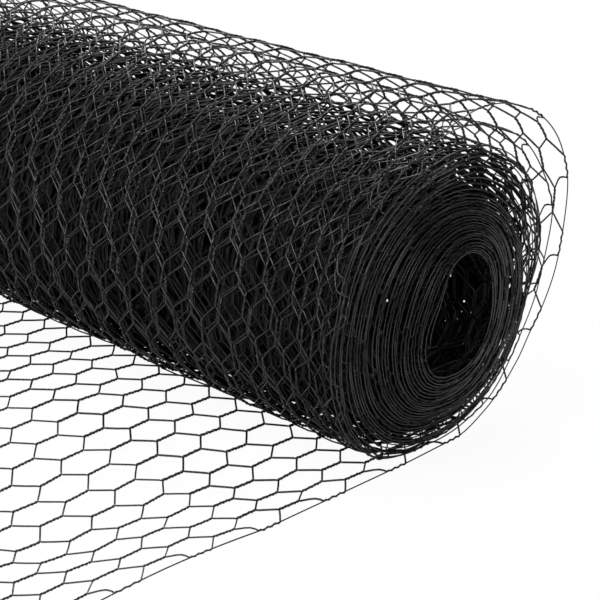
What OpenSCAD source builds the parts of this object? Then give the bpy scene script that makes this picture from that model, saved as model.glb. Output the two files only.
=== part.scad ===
// Roll of hexagonal wire netting with its outer turn sprung loose and its end laid out flat
// The roll lies along X, the laid out netting runs towards -Y, and the floor is z = 0

/* [Netting] */
// Meshes across the width of the netting
columns = 36; // [12:1:40]
// Width of one mesh, between two twists
mesh = 25; // [20:1:50]
// Distance from one row of meshes to the next
row = 27.5; // [23:0.5:40]
// Length of the twisted side of a mesh
twist_l = 16; // [8:1:17]
// Diameter of the coated wire
wire_d = 1.1; // [0.7:0.1:1.6]
// Rows of meshes laid out flat on the floor
flat_rows = 14; // [6:1:24]

/* [Roll] */
// Diameter of the open middle of the roll
bore_d = 70; // [40:1:120]
// Number of tight turns
turns = 32; // [8:1:40]
// Thickness that one tight turn takes up
turn_pitch = 1.9; // [1.6:0.1:4]
// How far the innermost turn stands out past the outermost one at an end
end_cone = 28; // [0:1:60]
// Depth of the groove between two turns on an end
turn_groove = 0.8; // [0.4:0.1:2]

/* [Loose turns] */
// How far the netting stays on the floor past the lowest line of the roll
foot = 32; // [5:0.5:40]
// How far the outermost turn springs away from the roll
outer_gap = 33; // [10:1:60]
// How far the second turn springs away from the roll
second_gap = 24; // [4:1:30]
// Direction in which the turns spring away, up from level
loose_dir = 44; // [30:1:60]
// Angle at which the spring has died away, to either side
loose_spread = 82; // [60:1:90]
// Gap left between two layers that lie on each other
layer_gap = 0.3; // [0.2:0.1:1]

/* [Hidden] */
wire_colour = "#1b1b1d";

// Two wires wound round each other are twice as thick as one
sheet_t = 2 * wire_d;
// The outermost columns end on a straight edge wire with the mesh wire wound round it
net_w = columns * mesh + sheet_t;
roll_r = bore_d / 2 + turns * turn_pitch;

// The roll lies on two layers: the laid out netting and the turn that runs under the roll
roll_z = roll_r + 2 * (sheet_t + layer_gap);
floor_layer_r = roll_z - sheet_t / 2;
inner_layer_r = roll_r + layer_gap + sheet_t / 2;

// Angles are counted from the lowest point of the roll, up its far side and over its top.
// The outermost turn leaves the floor at lift_t, springs away, and has closed in again after one
// full turn. The second turn goes on from there until it lies on the tight turns.
lift_t = atan(foot / floor_layer_r);
lift_r = norm([foot, floor_layer_r]);
peak_t = 90 + loose_dir;
spring_end = peak_t + loose_spread;
function bulge(t, gap) = abs(t - peak_t) > loose_spread ? 0 : gap * pow(cos(90 * (t - peak_t) / loose_spread), 2);
function closing(t) = max(0, (t - spring_end) / (360 - spring_end));
function outer_r(t) = lift_r + bulge(t, outer_gap) - (lift_r - inner_layer_r) * closing(t);
function second_r(t) = inner_layer_r + bulge(t, second_gap);
function on_turn(t, r) = [r * sin(t), -r * cos(t)];

// The roll stands off centre, so that the origin is the middle of the whole footprint
flat_strips = 4;
outer_segments = 12;
second_segments = 6;
segment_facets = 6;
outer_span = (360 - lift_t) / outer_segments;
second_span = spring_end / second_segments;
reach = max([for (i = [0 : outer_segments * segment_facets]) let (t = lift_t + i * outer_span / segment_facets)
    on_turn(t, outer_r(t) + sheet_t / 2)[0]]);
flat_l = flat_rows * row;
roll_y = (flat_l - foot - reach) / 2;

module on_roll_axis() {
    translate([0, roll_y, roll_z]) rotate([90, 0, 90]) children();
}

// Tight turns: one turned solid with its bore, each turn a ridge on both ends
function end_x(r) = end_cone / 2 - end_cone * (r - bore_d / 2) / (roll_r - bore_d / 2);

module tight_turns() {
    near = [for (i = [0 : turns - 1]) let (r = bore_d / 2 + i * turn_pitch)
        each [[r, end_x(r) - turn_groove], [r + turn_pitch / 2, end_x(r + turn_pitch / 2)]]];
    far = [for (i = [turns - 1 : -1 : 0]) let (r = bore_d / 2 + i * turn_pitch)
        each [[r + turn_pitch / 2, end_x(r + turn_pitch / 2)], [r, end_x(r) + turn_groove]]];
    near_end = [for (p = near) [p[0], p[1] + net_w / 2]];
    far_end = [for (p = far) [p[0], p[1] - net_w / 2]];
    near_rim = [roll_r, end_x(roll_r) - turn_groove + net_w / 2];
    far_rim = [roll_r, end_x(roll_r) + turn_groove - net_w / 2];
    color(wire_colour) on_roll_axis()
        rotate_extrude($fn = 144) polygon(concat(near_end, [near_rim, far_rim], far_end));
}

// One opening of the netting, centred on a row: twists at its sides, single wires above and below
slant = row - twist_l;
wire_rise = wire_d * norm([mesh / 2, slant]) / mesh;
open_half_w = mesh / 2 - wire_d;
function open_y(x) = twist_l / 2 + (1 - 2 * x / mesh) * slant - wire_rise;

// side is 1 or -1 for the half opening to the right or left of an edge wire;
// cut is 1 or -1 where the strip ends across the opening's middle, above it or below it
module opening(side = 0, cut = 0) {
    left = side > 0 ? wire_d : -open_half_w;
    right = side < 0 ? -wire_d : open_half_w;
    xs = side == 0 ? [left, 0, right] : [left, right];
    top = cut > 0 ? [[left, row], [right, row]] : [for (x = xs) [x, open_y(abs(x))]];
    bottom = cut < 0 ? [[right, -row], [left, -row]] : [for (i = [len(xs) - 1 : -1 : 0]) [xs[i], -open_y(abs(xs[i]))]];
    polygon(concat(top, bottom));
}

// A strip of flat netting between two rows, cut through the middle of their twists
module netting_2d(first, last) {
    difference() {
        translate([-net_w / 2, first * row]) square([net_w, (last - first) * row]);
        for (k = [first : last], i = [0 : columns]) {
            cut = k == first ? -1 : k == last ? 1 : 0;
            whole = k % 2 == 1;
            side = whole ? 0 : i == 0 ? 1 : i == columns ? -1 : 0;
            if (i < columns || !whole)
                translate([(i + (whole ? 0.5 : 0) - columns / 2) * mesh, k * row]) opening(side, cut);
        }
    }
}

module laid_out_netting(strip) {
    first = round(flat_rows * (strip - 1) / flat_strips);
    last = round(flat_rows * strip / flat_strips);
    color(wire_colour) translate([0, roll_y + foot, 0]) mirror([0, 1, 0])
        linear_extrude(height = sheet_t) netting_2d(first, last);
}

// Loose turns: bands that follow the spring of the netting, split so that each is a shallow arc.
// A point of a band is its angle, its radius and the angle at which its thickness points outwards
module turn_band(points) {
    function face(p, side) = on_turn(p[0], p[1]) + on_turn(p[2], side * sheet_t / 2);
    outside = [for (p = points) face(p, 1)];
    inside = [for (i = [len(points) - 1 : -1 : 0]) face(points[i], -1)];
    color(wire_colour) on_roll_axis()
        linear_extrude(height = net_w, center = true) polygon(concat(outside, inside));
}

// The first band starts square on the flat netting, and the others are square to the roll
module outer_turn(segment) {
    turn_band([for (i = [0 : segment_facets])
        let (t = lift_t + outer_span * (segment - 1 + i / segment_facets))
        [t, outer_r(t), segment == 1 ? t - lift_t * (1 - i / segment_facets) : t]]);
}

module second_turn(segment) {
    turn_band([for (i = [0 : segment_facets])
        let (t = second_span * (segment - 1 + i / segment_facets)) [t, second_r(t), t]]);
}

tight_turns();
for (i = [1 : flat_strips]) laid_out_netting(i);
for (i = [1 : outer_segments]) outer_turn(i);
for (i = [1 : second_segments]) second_turn(i);
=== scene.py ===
# Looks of the roll of wire netting: one long netting, bent along the path it takes round the roll
import math

import bmesh
import bpy
import numpy as np
from mathutils import Matrix, Vector


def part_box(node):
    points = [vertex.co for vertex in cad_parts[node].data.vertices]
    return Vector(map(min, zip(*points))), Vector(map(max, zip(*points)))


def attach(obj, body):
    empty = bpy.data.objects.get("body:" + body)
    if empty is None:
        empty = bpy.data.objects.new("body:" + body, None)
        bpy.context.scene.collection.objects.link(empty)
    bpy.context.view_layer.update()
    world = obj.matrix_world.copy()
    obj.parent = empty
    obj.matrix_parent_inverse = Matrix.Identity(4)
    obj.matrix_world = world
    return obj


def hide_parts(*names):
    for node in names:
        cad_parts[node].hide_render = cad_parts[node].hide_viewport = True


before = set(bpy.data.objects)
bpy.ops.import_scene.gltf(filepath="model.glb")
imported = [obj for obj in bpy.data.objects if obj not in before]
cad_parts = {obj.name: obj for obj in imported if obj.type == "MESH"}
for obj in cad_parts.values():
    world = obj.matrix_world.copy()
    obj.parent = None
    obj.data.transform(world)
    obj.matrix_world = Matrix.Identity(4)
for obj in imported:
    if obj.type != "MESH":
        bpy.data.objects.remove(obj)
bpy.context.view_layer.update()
mm = 0.001

# What the frame says about the roll
tightLow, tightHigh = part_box("tight_turns")
flatLow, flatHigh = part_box("laid_out_netting_1")
axisY = (tightLow[1] + tightHigh[1]) / 2
axisZ = (tightLow[2] + tightHigh[2]) / 2
tightRadius = (tightHigh[2] - tightLow[2]) / 2
liftY = flatHigh[1]  # line where the netting leaves the floor
sheetMiddle = (flatLow[2] + flatHigh[2]) / 2
print("frame read, roll axis at", round(axisY, 4), round(axisZ, 4), "radius", round(tightRadius, 4))

netting = {
    "mesh": 25 * mm,  # from one twist to the next across the netting
    "row": 27.5 * mm,  # from one row of meshes to the next along it
    "twist": 17.5 * mm,  # length of a twisted side, with the bends where its wires part
    "wound": 18 * mm,  # length over which a mesh wire is wound round an edge wire
    "wire": 1.1 * mm,
    "leadBend": 0.04,  # how far the wire between two twists strays from straight, as a share of its width
    "join": 0.02 * mm,  # ends of wires that are closer than this become one
    "columns": 36,
    "flatRows": 14,
}

# How finely the wires are modelled, from the stretches that show best to the buried ones. fat makes up
# for the few sides of a wire, or makes it bolder. apart is how far two wires wound round each other lie
# from their middle, halfTurns how often they cross in a twist, and leadShares where the wire between two
# twists has its bends. The edge values are for the straight wire along an edge, given by its radius, and
# for the mesh wire wound round it.
fine = {
    "sides": 3, "fat": 1.4, "apart": 0.42 * mm, "halfTurns": 7, "leadShares": (0.08, 0.5, 0.92, 1),
    "edgeSteps": 12, "edgeWire": 0.5 * mm, "edgeCoil": 0.4 * mm, "edgeHalfTurns": 6, "edgeFat": 1.4,
}
slender = dict(fine, fat=1.15, edgeFat=1.15)
covered = dict(fine, fat=1.15, edgeFat=1.15, apart=0.35 * mm, halfTurns=3)
medium = {
    "sides": 3, "fat": 1.25, "apart": 0.42 * mm, "halfTurns": 5, "leadShares": (0.1, 0.9, 1),
    "edgeSteps": 10, "edgeWire": 0.5 * mm, "edgeCoil": 0.35 * mm, "edgeHalfTurns": 4, "edgeFat": 1.25,
}
coarse = {
    "sides": 3, "fat": 1.5, "apart": 0.45 * mm, "halfTurns": 0, "leadShares": (1,),
    "edgeSteps": 8, "edgeWire": 0.5 * mm, "edgeCoil": 0.25 * mm, "edgeHalfTurns": 4, "edgeFat": 1.5,
}
packed = dict(coarse, fat=4, edgeFat=1.8)
lining = dict(coarse, fat=1.7)


# Finishes

# glossy outside; a darker, duller copy deep in the roll, whose darker colour is painted shade; and paler
# edge wires on the inner turns, which are a painted highlight
coatings = {
    "glossy": {"dark": 0.008, "light": 0.018, "roughness": (0.28, 0.4), "specular": 0.4},
    # darker colour painted in as shade deep in the roll; the rougher, weaker gloss is the duller finish
    "dullPaintedShade": {"dark": 0.002, "light": 0.005, "roughness": (0.4, 0.52), "specular": 0.2},
    # paler colour painted in as a highlight on the edge wires of the inner turns, seen as rings on the
    # roll's ends
    "ringHighlight": {"dark": 0.02, "light": 0.035, "roughness": (0.3, 0.42), "specular": 0.5},
}
coatingGrain = {
    "patches": 60, "patchDetail": 4, "blend": (0.35, 0.7), "tint": 1.06,
    "fine": 1400, "bump": 0.12, "depth": 0.1 * mm,
}


def nodesOf(owner):
    owner.use_nodes = True
    return owner.node_tree.nodes, owner.node_tree.links


def coatedWire(name):
    coating = coatings[name]
    material = bpy.data.materials.new(name + "Coating")
    nodes, links = nodesOf(material)
    shader = nodes["Principled BSDF"]
    place = nodes.new("ShaderNodeTexCoord")
    patches = nodes.new("ShaderNodeTexNoise")
    patches.inputs["Scale"].default_value = coatingGrain["patches"]
    patches.inputs["Detail"].default_value = coatingGrain["patchDetail"]
    links.new(place.outputs["Object"], patches.inputs["Vector"])
    tone = nodes.new("ShaderNodeValToRGB")
    for element, position, shade in zip(tone.color_ramp.elements, coatingGrain["blend"], ("dark", "light")):
        grey = coating[shade]
        element.position = position
        element.color = (grey, grey, grey * coatingGrain["tint"], 1)
    links.new(patches.outputs["Fac"], tone.inputs["Fac"])
    links.new(tone.outputs["Color"], shader.inputs["Base Color"])
    gloss = nodes.new("ShaderNodeMapRange")
    gloss.inputs["To Min"].default_value = coating["roughness"][0]
    gloss.inputs["To Max"].default_value = coating["roughness"][1]
    links.new(patches.outputs["Fac"], gloss.inputs["Value"])
    links.new(gloss.outputs["Result"], shader.inputs["Roughness"])
    shader.inputs["Specular IOR Level"].default_value = coating["specular"]
    grain = nodes.new("ShaderNodeTexNoise")
    grain.inputs["Scale"].default_value = coatingGrain["fine"]
    links.new(place.outputs["Object"], grain.inputs["Vector"])
    bump = nodes.new("ShaderNodeBump")
    bump.inputs["Strength"].default_value = coatingGrain["bump"]
    bump.inputs["Distance"].default_value = coatingGrain["depth"]
    links.new(grain.outputs["Fac"], bump.inputs["Height"])
    links.new(bump.outputs["Normal"], shader.inputs["Normal"])
    return material


glossyWire = coatedWire("glossy")
# the darker coating is painted shade for the inside of the roll
dullPaintedShadeWire = coatedWire("dullPaintedShade")
# the paler coating is a painted highlight on the edge-wire rings
ringHighlightWire = coatedWire("ringHighlight")
print("finishes made")


# The path of the netting, seen along the roll: flat on the floor, up the far side, over the top,
# down again and round and round to the bore. Angles count up from the lowest line of the roll.

path = {
    # radius of the outermost turn in mm at an angle, from where it leaves the floor
    "outermost": (
        (8, 100.6), (20, 98.4), (44, 96.8), (60, 97.5), (78, 107), (90, 114.5), (104, 124), (115, 132),
        (128, 136.5), (136, 136), (150, 132), (160, 128), (168, 123.5), (178, 117), (190, 110), (205, 104),
        (230, 100.5), (300, 98.8), (360, 97.6),
    ),
    # how far the second turn springs away in mm at an angle
    "second": (
        (10, 0), (20, -1), (44, -1.5), (60, 1), (75, 7), (85, 10), (95, 16), (106, 25), (125, 26),
        (136, 25.5), (152, 23), (170, 18), (190, 12), (215, 6), (250, 2), (300, 0),
    ),
    # the same for the turns inside it, as a share of the gap of each
    "loose": (
        (72, 0), (80, 0.15), (92, 0.6), (104, 0.85), (118, 1), (140, 1), (160, 0.75), (185, 0.3), (215, 0),
    ),
    "gaps": (21, 18, 15.5, 12.5, 10, 8, 6, 4, 2),  # mm, from the third turn on
    "turns": 32,
    # the turns inside the outermost one, against their number: the radius in mm, how far they have
    # sagged in mm and from which angle, and how far they are pressed into an oval in mm
    "tight": ((1, 97.2), (2, 91), (7, 85), (33, 33)),
    "sag": ((1, 0), (2, 7), (7, 6), (33, 7.5)),
    "sagFrom": ((2, 120), (7, 145), (33, 200)),
    "oval": ((12, 0), (33, 7)),
    "ovalTop": 165,  # angle of its long way
    # how far the ends of the turns stand out in mm, against the number of the turn
    "ends": (
        (0.45, 0), (0.8, -4), (0.95, -3), (1.08, -1), (1.2, -5), (1.4, -7), (1.7, -2), (2.1, -3), (2.3, -5),
        (2.7, -1), (4.5, 0), (33, 12),
    ),
    # how far the ends are ragged, in waves with the radians they turn by in a degree and their start
    "ragged": 0.6 * mm,
    "raggedWaves": ((0.031, 0), (0.0117, 1)),
    # how far the laid out netting lies askew, against the length along it
    "askew": ((-0.4, -5 * mm), (-0.3, -2 * mm), (-0.07, 4 * mm), (0.1, 1 * mm), (0.25, 0)),
    # how far the turns bulge in and out, from a turn on, in waves with their share, their number round
    # the roll, their drift from turn to turn and their start
    "wobble": 0.55 * mm,
    "wobbleFrom": 1.2,
    "wobbleWaves": ((1, 2, 0.37, 0), (0.6, 3, 0.9, 1)),
    "step": 1.0,  # degrees
    "floorStep": 2 * mm,
    "spareRows": 3,  # floor in front of the cut end
    "smooth": 12,  # samples over which the path is eased
}


def smoothStep(value):
    value = np.clip(value, 0, 1)
    return value * value * (3 - 2 * value)


def alongTable(value, table):
    where, amount = np.array(table).T
    return np.interp(value, where, amount)


def nettingPath():
    t = np.arange(path["outermost"][0][0], 360 * (path["turns"] + 1), path["step"])
    turn = t / 360
    within = t % 360
    tight = alongTable(turn, path["tight"]) * mm
    gaps = np.array((0, 0) + path["gaps"] + (0,) * path["turns"])[turn.astype(int)]
    away = np.where(turn < 2, alongTable(within, path["second"]), gaps * alongTable(within, path["loose"]))
    radius = np.where(turn < 1, alongTable(within, path["outermost"]) * mm, tight + away * mm)
    angle = np.radians(t)
    sagFrom = np.radians(alongTable(turn, path["sagFrom"]))
    radius -= alongTable(turn, path["sag"]) * mm * np.cos(angle - sagFrom)
    radius += alongTable(turn, path["oval"]) * mm * np.cos(2 * (angle - math.radians(path["ovalTop"])))
    wobble = sum(
        share * np.sin(count * angle + drift * turn + start)
        for share, count, drift, start in path["wobbleWaves"]
    )
    radius += path["wobble"] * np.clip(turn - path["wobbleFrom"], 0, 1) * wobble
    y = axisY + radius * np.sin(angle)
    z = np.maximum(axisZ - radius * np.cos(angle), sheetMiddle)
    # the stretch on the floor goes in front, so that the lift is eased as well
    floorLength = (netting["flatRows"] + path["spareRows"]) * netting["row"]
    floorY = np.arange(-floorLength, 0, path["floorStep"]) + y[0]
    y = np.concatenate([floorY, y])
    z = np.concatenate([np.full(len(floorY), sheetMiddle), z])
    width = path["smooth"]
    kernel = np.hanning(width + 2)[1:-1]
    kernel /= kernel.sum()
    y = np.convolve(np.pad(y, width, mode="edge"), kernel, mode="same")[width:-width]
    z = np.convolve(np.pad(z, width, mode="edge"), kernel, mode="same")[width:-width]
    y[:width] = floorY[:width]
    # lengths count from the line where the frame's netting ends
    along = np.concatenate([[0], np.cumsum(np.hypot(np.diff(y), np.diff(z)))])
    along += floorY[0] - liftY
    # the ends of the turns: level with the laid out netting at first, then in a shallow cone
    ragged = sum(np.sin(pace * t + start) for pace, start in path["raggedWaves"])
    ragged = path["ragged"] * ragged * np.clip(turn - 1, 0, 1)
    shift = np.concatenate([np.zeros(len(floorY)), alongTable(turn, path["ends"]) * mm + ragged])
    shift += alongTable(along, path["askew"])
    turn = np.concatenate([np.zeros(len(floorY)), turn])
    return {"along": along, "y": y, "z": z, "shift": shift, "turn": turn}


route = nettingPath()
print("netting is", round(route["along"][-1] + netting["flatRows"] * netting["row"], 2), "m long")

# What makes the netting uneven. Lengths of ripples are in metres, and each effect fades over a number of
# meshes at the edges of the netting, and at its cut end.
uneven = {
    "seed": 7,
    "waves": 5,  # in one ripple
    # how far the netting is drawn towards its edges, against the distance from the edge, both in meshes
    "drawn": ((0, 0), (0.5, 0.075), (1, 0.23), (2, 0.36), (3.5, 0.47), (18, 0)),
    # how far the meshes are pulled out of true
    "meshes": {"by": 0.55 * mm, "small": (0.05, 0.09), "large": (0.12, 0.3), "fade": 1, "cutFade": 2},
    # how far the columns of meshes stray inside the roll, and where along the netting that sets in
    "columns": {"by": 10 * mm, "lengths": (0.16, 0.45), "from": 1, "over": 1.5, "fade": 1.5},
    # where the laid out netting was pulled askew: the place, how far round it, and how much
    "pulled": {
        "x": 290 * mm, "along": -245 * mm, "reach": 100 * mm,
        "longer": 0.15, "wider": 0.2, "skewed": 0.14, "fade": 4,
    },
    # how far the laid out netting waves off the floor, which dies away where it reaches the roll
    "humps": {"by": 5 * mm, "lengths": (0.22, 0.5), "steepness": 0.5, "level": 0.1, "over": 0.08},
    # how much higher than in the frame it lies, up to a line just past the one where it lifts
    "rest": {"by": 0.3 * mm, "until": 0.05},
    # how far the outer turns ripple, and where along the netting that sets in and dies away
    "dents": {"by": 0.5 * mm, "lengths": (0.06, 0.12), "rise": 0.15, "until": 1.2, "over": 0.4},
    # away from the near end the second turn and the next ones lie closer under the outermost one
    "closer": {"by": 9 * mm, "turns": ((1, 0), (1.01, 1), (2, 1), (6, 0)), "from": 0.44, "over": 0.13},
    # the roll has settled forwards: how far, at which angles, from which turn on, and how much less the
    # tight turns give way near the edges
    "settled": {
        "by": 11.5 * mm, "at": ((262, 0), (285, 0.5), (305, 0.95), (325, 1), (338, 0.6), (352, 0)),
        "from": 0.6, "stiffness": 0.45, "stiffTurns": ((3, 0), (6, 1)), "nearEdge": 0.06,
    },
    "slopeReach": 1 * mm,  # how far ahead and behind a point the slope of the path is taken
}


def ripple(x, along, seed, lengths):
    rng = np.random.default_rng(seed)
    total = np.zeros(len(x))
    for _ in range(uneven["waves"]):
        length = rng.uniform(*lengths)
        heading = rng.uniform(0, math.tau)
        phase = rng.uniform(0, math.tau)
        total += np.sin((x * math.cos(heading) + along * math.sin(heading)) * math.tau / length + phase)
    return total / math.sqrt(uneven["waves"] / 2)


def strayInPlane(x0, along0, inFromEdge):
    mesh = netting["mesh"]
    seed = uneven["seed"]
    fromCut = along0 + netting["flatRows"] * netting["row"]
    # the outermost meshes are drawn together by the edge wires
    drawn = alongTable(inFromEdge / mesh, uneven["drawn"]) * mesh
    x = x0 + np.sign(x0) * drawn
    meshes = uneven["meshes"]
    pullX, pullAlong = (
        ripple(x0, along0, first, meshes["small"]) + ripple(x0, along0, first + 1, meshes["large"])
        for first in (seed, seed + 2)
    )
    x += meshes["by"] * np.clip(inFromEdge / (meshes["fade"] * mesh), 0, 1) * pullX
    along = along0 + meshes["by"] * pullAlong * np.clip(fromCut / (meshes["cutFade"] * mesh), 0, 1)
    # inside the roll the columns of meshes wander, so that those of one turn seldom cover the next ones
    columns = uneven["columns"]
    buried = smoothStep((along0 - columns["from"]) / columns["over"])
    buried *= smoothStep(inFromEdge / (columns["fade"] * mesh))
    x += buried * columns["by"] * ripple(x0, along0, seed + 6, columns["lengths"])
    pulled = uneven["pulled"]
    awayX, awayAlong = x0 - pulled["x"], along0 - pulled["along"]
    weight = np.exp(-(awayX**2 + awayAlong**2) / (2 * pulled["reach"] ** 2))
    fade = pulled["fade"] * mesh
    weight *= smoothStep(inFromEdge / fade) * smoothStep(fromCut / fade)
    along += weight * (pulled["longer"] * awayAlong - pulled["skewed"] * awayX)
    x += weight * (pulled["wider"] * awayX - pulled["skewed"] * awayAlong)
    return x, along


def strayUp(x0, along0, up, turn):
    # up is off the floor where the netting is laid out, and towards the axis on the roll
    seed = uneven["seed"]
    humps, rest, dents, closer = (uneven[name] for name in ("humps", "rest", "dents", "closer"))
    hump = ripple(x0, along0, seed + 4, humps["lengths"]) * humps["steepness"] + humps["level"]
    up = up + smoothStep(-along0 / humps["over"]) * humps["by"] * np.clip(hump, 0, None)
    up += rest["by"] * (along0 < rest["until"])
    depth = dents["by"] * (1 - np.clip((along0 - dents["until"]) / dents["over"], 0, 1))
    depth *= np.clip(along0 / dents["rise"], 0, 1)
    up += depth * (ripple(x0, along0, seed + 5, dents["lengths"]) - 1)
    sprung = alongTable(turn % 1 * 360, path["loose"]) * alongTable(turn, closer["turns"])
    up -= closer["by"] * sprung * smoothStep((closer["from"] - x0) / closer["over"])
    return up


def placeOnPath(along, up):
    reach = uneven["slopeReach"]
    y, z = (np.interp(along, route["along"], route[axis]) for axis in "yz")
    aheadY, aheadZ = (
        np.interp(along + reach, route["along"], route[axis])
        - np.interp(along - reach, route["along"], route[axis])
        for axis in "yz"
    )
    size = np.hypot(aheadY, aheadZ)
    size[size == 0] = 1
    return y - up * aheadZ / size, z + up * aheadY / size


def settle(y, z, turn, inFromEdge):
    settled = uneven["settled"]
    awayY, awayZ = y - axisY, z - axisZ
    radius = np.hypot(awayY, awayZ)
    around = np.degrees(np.arctan2(awayY, -awayZ)) % 360
    stiffness = settled["stiffness"] * alongTable(turn, settled["stiffTurns"])
    yielding = 1 - stiffness * (1 - smoothStep(inFromEdge / settled["nearEdge"]))
    by = settled["by"] * alongTable(around, settled["at"]) * (radius / tightRadius) * yielding
    by *= turn > settled["from"]
    return y + by * awayY / radius, z + by * awayZ / radius


def bendAlong(points):
    # points: x across the netting, y along it, z up from its middle
    x0, along0, up = points.T
    inFromEdge = netting["columns"] * netting["mesh"] / 2 - abs(x0)
    x, along = strayInPlane(x0, along0, inFromEdge)
    turn = np.interp(along, route["along"], route["turn"])
    y, z = placeOnPath(along, strayUp(x0, along0, up, turn))
    y, z = settle(y, z, turn, inFromEdge)
    x += np.interp(along, route["along"], route["shift"])
    return np.column_stack([x, y, z])


# Wires. A wire starts as a small ring square to the netting's length, and is spun or led on.

def ringAt(bm, x, y, radius, sides, tilt=0):
    upright = Matrix.Rotation(math.pi / 2, 4, "X")
    spot = Matrix.Translation((x, y, 0)) @ Matrix.Rotation(tilt, 4, "Z") @ upright
    made = bmesh.ops.create_circle(bm, cap_ends=False, segments=sides, radius=radius, matrix=spot)
    return list({edge for vert in made["verts"] for edge in vert.link_edges})


def coilOn(bm, ring, x, y, length, halfTurns):
    steps = 2 * halfTurns
    verts = list({vert for edge in ring for vert in edge.verts})
    made = bmesh.ops.spin(
        bm, geom=verts + ring, cent=(x, y, 0), axis=(0, 1, 0), dvec=(0, length / steps, 0),
        angle=math.pi * halfTurns, steps=steps, use_merge=False, use_duplicate=False,
    )
    return [part for part in made["geom_last"] if isinstance(part, bmesh.types.BMEdge)]


def wireOn(bm, ring, stops, tilt=0):
    # stops: how far across and along from the start, and the way the wire is turned there
    place = Vector((0, 0, 0))
    for across, along, newTilt in stops:
        made = bmesh.ops.extrude_edge_only(bm, edges=ring)
        verts = [part for part in made["geom"] if isinstance(part, bmesh.types.BMVert)]
        fresh = set(verts)
        ring = [
            part for part in made["geom"]
            if isinstance(part, bmesh.types.BMEdge) and part.verts[0] in fresh and part.verts[1] in fresh
        ]
        target = Vector((across, along, 0))
        bmesh.ops.translate(bm, vec=target - place, verts=verts)
        middle = sum((vert.co for vert in verts), Vector()) / len(verts)
        bmesh.ops.rotate(bm, cent=middle, matrix=Matrix.Rotation(newTilt - tilt, 3, "Z"), verts=verts)
        place, tilt = target, newTilt
    return ring


def leadStops(across, along, detail):
    # a nearly straight wire from one twist to the next
    lean = -math.atan2(across, along)
    shares = detail["leadShares"]
    if len(shares) == 1:
        return [(across, along, lean / 2)]
    stops = []
    for share in shares:
        eased = share + netting["leadBend"] * math.sin(math.tau * share)
        stops.append((across * eased, along * share, 0 if share == 1 else lean))
    return stops


def plainLead(side, detail):
    across = side * (netting["mesh"] / 2 - 2 * detail["apart"])
    return leadStops(across, netting["row"] - netting["twist"], detail)


def archStops(across, along):
    # a wire that reaches the edge wire nearly square to it: shares across and along, and degrees
    shape = ((0.1, 0.26, -22), (0.22, 0.58, -24), (0.4, 0.86, -48), (0.68, 0.98, -72), (1, 1, -82))
    side = math.copysign(1, across)
    return [(across * a, along * b, side * math.radians(turned)) for a, b, turned in shape]


def twistedPair(bm, x, y, detail, archSide=0):
    # two wires wound round each other, which part to the left and to the right above the twist
    half = netting["twist"] / 2
    offset = detail["apart"]
    radius = netting["wire"] / 2 * detail["fat"]
    for side in (-1, 1):
        stops = plainLead(side, detail)
        if detail["halfTurns"]:
            # the wire that comes in on one side goes out on the other
            ring = ringAt(bm, x - side * offset, y - half, radius, detail["sides"])
            ring = coilOn(bm, ring, x, y - half, netting["twist"], detail["halfTurns"])
            tilt = 0
        else:
            tilt = stops[-1][2]
            ring = ringAt(bm, x + side * offset, y - half, radius, detail["sides"], -tilt)
            ring = wireOn(bm, ring, [(0, netting["twist"], tilt)], -tilt)
        if side == archSide:
            stops = archStops(side * (netting["mesh"] / 2 - offset), netting["row"] - netting["twist"])
        wireOn(bm, ring, stops, tilt)


def edgeWire(bm, side, detail):
    # the straight wire along an edge, with the mesh wire wound round it between two leads
    half = netting["twist"] / 2
    ring = ringAt(bm, 0, -half, detail["edgeWire"], detail["sides"])
    step = 2 * netting["row"] / detail["edgeSteps"]
    wireOn(bm, ring, [(0, step * (i + 1), 0) for i in range(detail["edgeSteps"])])
    if not detail["halfTurns"]:
        # deep in the roll the edge wires take the paler coating, a painted highlight, so they show as paler
        # rings on the roll's ends
        for face in bm.faces:
            face.material_index = 1
    radius = netting["wire"] / 2 * detail["edgeFat"]
    coil = detail["edgeCoil"]
    ring = ringAt(bm, -side * coil, -half, radius, detail["sides"])
    ring = coilOn(bm, ring, 0, -half, netting["wound"], detail["edgeHalfTurns"])
    across = -side * (netting["mesh"] / 2 - detail["apart"] - coil)
    along = netting["row"] - netting["wound"]
    stops = leadStops(across, along, detail)
    if not detail["halfTurns"]:
        # the ring that the first twist of the coarse netting starts with leans half as far as its leads
        stops[-1] = (across, along, plainLead(-side, detail)[-1][2])
    wireOn(bm, ring, stops)


def nettingUnit(side, detail):
    # two rows of one column: side is -1 or 1 at an edge of the netting, 0 inside it
    bm = bmesh.new()
    mesh, row = netting["mesh"], netting["row"]
    if side == -1:
        edgeWire(bm, -1, detail)
        twistedPair(bm, mesh / 2, row, detail, -1)
    elif side == 0:
        twistedPair(bm, 0, 0, detail)
        twistedPair(bm, mesh / 2, row, detail)
    else:
        edgeWire(bm, 1, detail)
        twistedPair(bm, -mesh, 0, detail)
        twistedPair(bm, -mesh / 2, row, detail, 1)
    return bm


def repeated(bm, across, along, corner, name):
    # an array across the netting and one along it
    mesh = bpy.data.meshes.new(name)
    bm.to_mesh(mesh)
    bm.free()
    holder = bpy.data.objects.new(name, mesh)
    bpy.context.scene.collection.objects.link(holder)
    offsets = {"across": (netting["mesh"], 0, 0), "along": (0, 2 * netting["row"], 0)}
    for (label, offset), count in zip(offsets.items(), (across, along)):
        array = holder.modifiers.new(label, "ARRAY")
        array.count = count
        array.use_relative_offset = False
        array.use_constant_offset = True
        array.constant_offset_displace = offset
    seen = holder.evaluated_get(bpy.context.evaluated_depsgraph_get())
    result = bpy.data.meshes.new_from_object(seen)
    result.transform(Matrix.Translation(corner))
    bpy.data.objects.remove(holder)
    bpy.data.meshes.remove(mesh)
    return result


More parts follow.
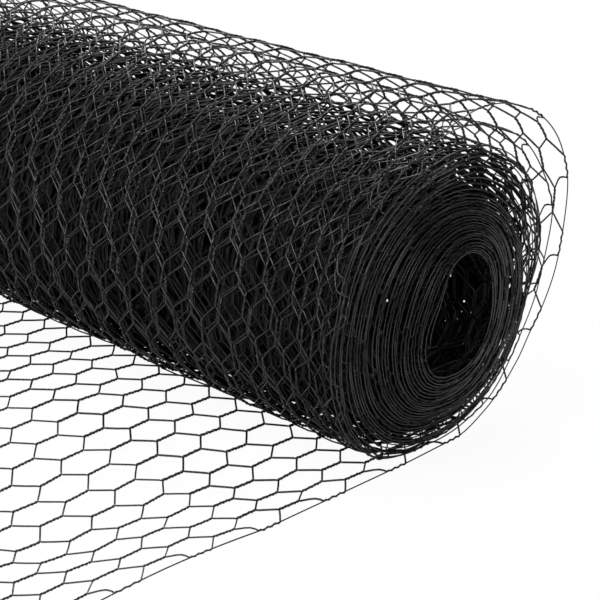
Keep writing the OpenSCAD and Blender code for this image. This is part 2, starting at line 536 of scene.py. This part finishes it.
def makeNetting(name, detail, firstRow, lastRow, cut=None):
    # the rows from firstRow up to lastRow, both odd, with row 0 where the netting leaves the floor
    columns = netting["columns"]
    along = (lastRow - firstRow) // 2
    left = -columns * netting["mesh"] / 2
    start = firstRow * netting["row"]
    bm = bmesh.new()
    for side, first, across in ((-1, 0, 1), (0, 1, columns - 2), (1, columns, 1)):
        corner = (left + first * netting["mesh"], start, 0)
        part = repeated(nettingUnit(side, detail), across, along, corner, name)
        bm.from_mesh(part)
        bpy.data.meshes.remove(part)
    if cut is not None:
        everything = bm.verts[:] + bm.edges[:] + bm.faces[:]
        bmesh.ops.bisect_plane(
            bm, geom=everything, plane_co=(0, cut, 0), plane_no=(0, -1, 0), clear_outer=True,
        )
    bmesh.ops.remove_doubles(bm, verts=bm.verts, dist=netting["join"])
    bmesh.ops.holes_fill(bm, edges=[edge for edge in bm.edges if edge.is_boundary], sides=8)
    bmesh.ops.recalc_face_normals(bm, faces=bm.faces)
    mesh = bpy.data.meshes.new(name)
    bm.to_mesh(mesh)
    bm.free()
    points = np.empty(len(mesh.vertices) * 3)
    mesh.vertices.foreach_get("co", points)
    mesh.vertices.foreach_set("co", bendAlong(points.reshape(-1, 3)).ravel())
    mesh.polygons.foreach_set("use_smooth", [True] * len(mesh.polygons))
    mesh.update()
    piece = bpy.data.objects.new(name, mesh)
    bpy.context.scene.collection.objects.link(piece)
    # inner turns take the painted-shade coating, and their edge wires the painted-highlight one
    for finish in (glossyWire,) if detail["halfTurns"] else (dullPaintedShadeWire, ringHighlightWire):
        mesh.materials.append(finish)
    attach(piece, "root")
    mesh.calc_loop_triangles()
    print(name, "rows", firstRow, "to", lastRow, "has", len(mesh.loop_triangles), "triangles")
    return piece


# The first rows of the pieces, which are stretches of the netting
rows = {
    "front": -netting["flatRows"] - 1, "back": -7, "far": 1, "near": 13, "second": 25, "third": 49,
    "inner": 71,
}
cutEnd = -netting["flatRows"] * netting["row"]
laidOutFront = makeNetting("laidOutFront", slender, rows["front"], rows["back"], cut=cutEnd)
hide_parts("laid_out_netting_3", "laid_out_netting_4")
laidOutBack = makeNetting("laidOutBack", fine, rows["back"], rows["far"])
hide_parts("laid_out_netting_1", "laid_out_netting_2")
sprungTurn = makeNetting("outerTurnFar", fine, rows["far"], rows["near"])
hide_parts(*[f"outer_turn_{i}" for i in range(1, 7)])
outerTurn = makeNetting("outerTurnNear", covered, rows["near"], rows["second"])
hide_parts(*[f"outer_turn_{i}" for i in range(7, 13)])
secondTurn = makeNetting("secondTurn", medium, rows["second"], rows["third"])
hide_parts(*[f"second_turn_{i}" for i in range(1, 7)])
makeNetting("thirdTurn", medium, rows["third"], rows["inner"])

# the inner turns are shared out evenly among three details, in whole pairs of rows
innerDetails = (coarse, packed, lining)
lastRow = int(route["along"][-1] / netting["row"]) // 2 * 2 - 1
share = (lastRow - rows["inner"]) // (2 * len(innerDetails)) * 2
firstRows = [rows["inner"] + index * share for index in range(len(innerDetails))]
innerTurns = [
    makeNetting(f"innerTurns{index + 1}", detail, first, last)
    for index, (detail, first, last) in enumerate(zip(innerDetails, firstRows, firstRows[1:] + [lastRow]))
]
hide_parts("tight_turns")


# Studio: white surroundings for the camera, plain soft light on the netting

studio = {
    "floorSize": 12,
    "floorColour": (0.7, 0.7, 0.7, 1),
    "floorRoughness": 0.9,
    "whiten": 0.95,  # share of plain white that the camera sees on the floor
    "sky": 0.16,
    "aim": (0, 0, 0.1),  # where the lamps point
}


def mixToSurface(nodes, links, factor, lit, white, output):
    mix = nodes.new("ShaderNodeMixShader")
    links.new(factor, mix.inputs["Fac"])
    links.new(lit, mix.inputs[1])
    links.new(white, mix.inputs[2])
    links.new(mix.outputs["Shader"], nodes[output].inputs["Surface"])


def paintFloor(floor):
    material = bpy.data.materials.new("floorPaper")
    nodes, links = nodesOf(material)
    shader = nodes["Principled BSDF"]
    shader.inputs["Base Color"].default_value = studio["floorColour"]
    shader.inputs["Roughness"].default_value = studio["floorRoughness"]
    shader.inputs["Specular IOR Level"].default_value = 0
    glow = nodes.new("ShaderNodeEmission")
    rays = nodes.new("ShaderNodeLightPath")
    share = nodes.new("ShaderNodeMath")
    share.operation = "MULTIPLY"
    share.inputs[1].default_value = studio["whiten"]
    links.new(rays.outputs["Is Camera Ray"], share.inputs[0])
    lit, white = shader.outputs["BSDF"], glow.outputs["Emission"]
    mixToSurface(nodes, links, share.outputs[0], lit, white, "Material Output")
    floor.data.materials.append(material)


def paintSky():
    world = bpy.data.worlds.new("studioSky")
    bpy.context.scene.world = world
    nodes, links = nodesOf(world)
    background = nodes["Background"]
    plain = nodes.new("ShaderNodeBackground")
    for shade, strength in ((background, studio["sky"]), (plain, 1)):
        shade.inputs["Color"].default_value = (1, 1, 1, 1)
        shade.inputs["Strength"].default_value = strength
    rays = nodes.new("ShaderNodeLightPath")
    lit, white = background.outputs["Background"], plain.outputs["Background"]
    mixToSurface(nodes, links, rays.outputs["Is Camera Ray"], lit, white, "World Output")


bm = bmesh.new()
bmesh.ops.create_grid(bm, x_segments=2, y_segments=2, size=studio["floorSize"] / 2)
floorMesh = bpy.data.meshes.new("floor")
bm.to_mesh(floorMesh)
bm.free()
floor = bpy.data.objects.new("floor", floorMesh)
bpy.context.scene.collection.objects.link(floor)
paintFloor(floor)

paintSky()

lamps = {
    "backLeft": {"at": (-1.0, 1.3, 1.6), "size": 1.0, "watts": 50},
    "overhead": {"at": (0.1, -0.4, 1.9), "size": 0.7, "watts": 26},
    "frontLeft": {"at": (-0.5, -1.7, 1.1), "size": 0.6, "watts": 28},
    "frontRight": {"at": (1.9, -0.9, 1.3), "size": 0.6, "watts": 19},
}
for lampName, lamp in lamps.items():
    light = bpy.data.lights.new(lampName, "AREA")
    light.energy = lamp["watts"]
    light.size = lamp["size"]
    holder = bpy.data.objects.new(lampName, light)
    holder.location = lamp["at"]
    aim = Vector(studio["aim"]) - holder.location
    holder.rotation_euler = aim.to_track_quat("-Z", "Y").to_euler()
    bpy.context.scene.collection.objects.link(holder)
print("studio lit")

# The photograph's view: from the near right, a little above
view = {
    "azimuth": 44.5,
    "elevation": 22.2,
    "sensor": 36,
    "lens": 1859 / 600 * 36,  # 1859 pixels of focal length on a picture 600 pixels wide
    "fromAxis": (1150.4 * mm, -846.6 * mm, 447 * mm),  # counted from the middle of the roll's axis
    "farthest": 50,
}
cameraData = bpy.data.cameras.new("camera")
cameraData.sensor_width = view["sensor"]
cameraData.lens = view["lens"]
cameraData.clip_end = view["farthest"]
camera = bpy.data.objects.new("camera", cameraData)
camera.location = Vector(view["fromAxis"]) + Vector((0, axisY, axisZ))
camera.rotation_euler = (math.radians(90 - view["elevation"]), 0, math.radians(view["azimuth"]))
bpy.context.scene.collection.objects.link(camera)
bpy.context.scene.camera = camera
bpy.context.scene.view_settings.view_transform = "Standard"
